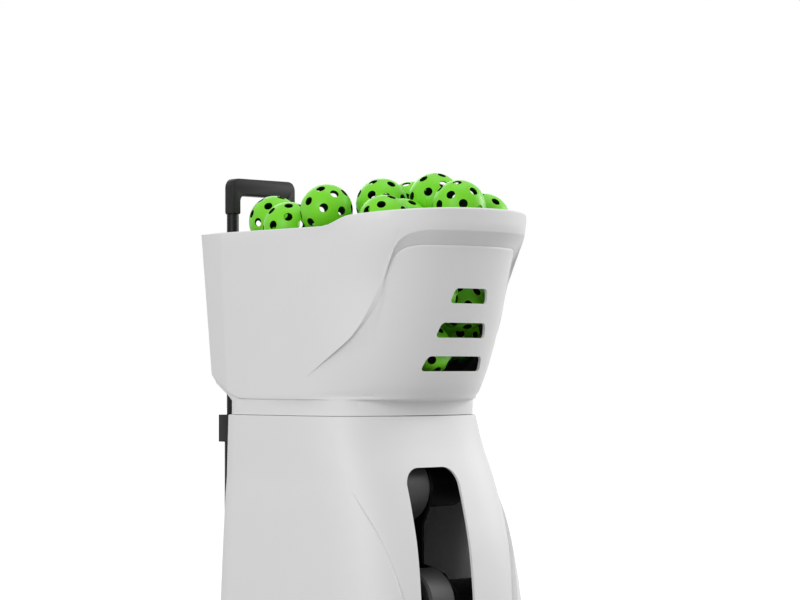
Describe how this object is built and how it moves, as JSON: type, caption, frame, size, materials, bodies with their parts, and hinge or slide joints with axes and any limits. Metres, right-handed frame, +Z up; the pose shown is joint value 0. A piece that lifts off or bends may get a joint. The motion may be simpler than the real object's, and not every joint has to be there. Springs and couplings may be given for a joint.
{
  "type": "pickleball machine",
  "caption": "White upright pickleball machine with a flared ball hopper, a tall front slot with throwing wheels, and a black telescopic trolley handle on transport wheels",
  "frame": {"origin": "middle of the base on the floor, under the centre of the bounding box", "axes": "+Z up, -Y towards the front that the balls leave from, +X to the right of a viewer facing the front"},
  "size_m": [0.356, 0.503, 0.926],
  "materials": {
    "white_abs": "satin moulded ABS",
    "black_nylon": "lightly textured glass-filled nylon",
    "grey_abs": "plain moulded ABS",
    "zinc_steel": "zinc plated",
    "black_steel": "black powder coat",
    "black_aluminium": "black anodised",
    "rubber": "matt rubber",
    "grey_urethane": "dark grey cast polyurethane",
    "green_plastic": "bright green moulded ball plastic",
    "circuit_board": "solder-masked board"
  },
  "bodies": {
    "machine": {"axle": "zinc_steel", "axle_bracket": "grey_abs", "ball_pile": "green_plastic", "base_tray": "grey_abs", "battery": "black_nylon", "battery_strap": "grey_abs", "board_frame": "black_nylon", "body_shell": "white_abs", "charge_socket": "black_nylon", "control_board": "circuit_board", "control_panel": "black_nylon", "drop_tube": "black_nylon", "feed_gearbox": "black_aluminium", "feed_motor": "black_steel", "front_foot_left": "rubber", "front_foot_right": "rubber", "hopper_floor": "black_nylon", "hopper_funnel": "black_nylon", "hopper_shell": "white_abs", "launcher_post_far": "grey_abs", "launcher_post_near": "grey_abs", "lower_bracket": "black_nylon", "outer_tube_left": "black_aluminium", "outer_tube_right": "black_aluminium", "pitch_motor": "black_steel", "pitch_motor_stand": "grey_abs", "rear_cover": "white_abs", "top_deck": "grey_abs", "upper_bracket": "black_nylon"},
    "feed_rotor": {"feed_rotor": "black_nylon", "rotor_shaft": "zinc_steel"},
    "launcher": {"launcher_frame": "black_steel", "upper_motor": "black_steel", "lower_motor": "black_steel", "upper_bearing_near": "zinc_steel", "upper_bearing_far": "zinc_steel", "lower_bearing_near": "zinc_steel", "lower_bearing_far": "zinc_steel"},
    "upper_wheel": {"upper_wheel_hub": "black_aluminium", "upper_wheel_tyre": "grey_urethane", "upper_wheel_shaft": "zinc_steel"},
    "lower_wheel": {"lower_wheel_hub": "black_aluminium", "lower_wheel_tyre": "grey_urethane", "lower_wheel_shaft": "zinc_steel"},
    "pitch_pinion": {"pitch_pinion": "zinc_steel"},
    "handle": {"handle_grip": "black_nylon", "inner_tube_left": "black_aluminium", "inner_tube_right": "black_aluminium"},
    "release_button": {"release_button": "black_nylon"},
    "transport_wheel_left": {"transport_hub_left": "grey_abs", "transport_tyre_left": "rubber"},
    "transport_wheel_right": {"transport_hub_right": "grey_abs", "transport_tyre_right": "rubber"},
    "power_rocker": {"power_rocker": "black_nylon"},
    "panel_button_1": {"panel_button_1": "grey_abs"},
    "panel_button_2": {"panel_button_2": "grey_abs"},
    "panel_button_3": {"panel_button_3": "grey_abs"},
    "speed_knob": {"speed_knob": "grey_abs"},
    "socket_flap": {"socket_flap": "rubber"}
  },
  "joints": [
    {"name": "feed_rotor_turn", "type": "hinge", "parent": "machine", "child": "feed_rotor", "pos_m": [0, 0.0035, 0.62], "axis": [0, 0, 1], "continuous": true},
    {"name": "launcher_pitch", "type": "hinge", "parent": "machine", "child": "launcher", "pos_m": [-0.031, -0.0655, 0.385], "axis": [-1, 0, 0], "range_deg": [-8, 8]},
    {"name": "pitch_pinion_turn", "type": "hinge", "parent": "machine", "child": "pitch_pinion", "pos_m": [-0.0825, -0.00186, 0.32136], "axis": [-1, 0, 0], "range_deg": [-34, 34]},
    {"name": "upper_wheel_spin", "type": "hinge", "parent": "launcher", "child": "upper_wheel", "pos_m": [-0.031, -0.0946, 0.47881], "axis": [1, 0, 0], "continuous": true},
    {"name": "lower_wheel_spin", "type": "hinge", "parent": "launcher", "child": "lower_wheel", "pos_m": [-0.031, -0.1434, 0.32119], "axis": [1, 0, 0], "continuous": true},
    {"name": "handle_slide", "type": "slide", "parent": "machine", "child": "handle", "axis": [0, 0, 1], "range_m": [-0.288, 0.1]},
    {"name": "release_button_press", "type": "slide", "parent": "handle", "child": "release_button", "axis": [0, 0, -1], "range_m": [0, 0.003], "stiffness_N_per_m": 400},
    {"name": "transport_wheel_left_roll", "type": "hinge", "parent": "machine", "child": "transport_wheel_left", "pos_m": [-0.118, 0.2015, 0.05], "axis": [1, 0, 0], "continuous": true},
    {"name": "transport_wheel_right_roll", "type": "hinge", "parent": "machine", "child": "transport_wheel_right", "pos_m": [0.118, 0.2015, 0.05], "axis": [1, 0, 0], "continuous": true},
    {"name": "power_rocker_tilt", "type": "hinge", "parent": "machine", "child": "power_rocker", "pos_m": [0, 0.15145, 0.366], "axis": [1, 0, 0], "range_deg": [-5, 5]},
    {"name": "button_1_press", "type": "slide", "parent": "machine", "child": "panel_button_1", "axis": [0, -1, 0], "range_m": [0, 0.0014], "stiffness_N_per_m": 300},
    {"name": "button_2_press", "type": "slide", "parent": "machine", "child": "panel_button_2", "axis": [0, -1, 0], "range_m": [0, 0.0014], "stiffness_N_per_m": 300},
    {"name": "button_3_press", "type": "slide", "parent": "machine", "child": "panel_button_3", "axis": [0, -1, 0], "range_m": [0, 0.0014], "stiffness_N_per_m": 300},
    {"name": "speed_knob_turn", "type": "hinge", "parent": "machine", "child": "speed_knob", "pos_m": [0, 0.1584, 0.468], "axis": [0, 1, 0], "range_deg": [-135, 135]},
    {"name": "socket_flap_open", "type": "hinge", "parent": "machine", "child": "socket_flap", "pos_m": [0, 0.1545, 0.2495], "axis": [1, 0, 0], "range_deg": [0, 110]}
  ],
  "couplings": [
    {"joint": "pitch_pinion_turn", "follows": "launcher_pitch", "ratio": -4}
  ]
}
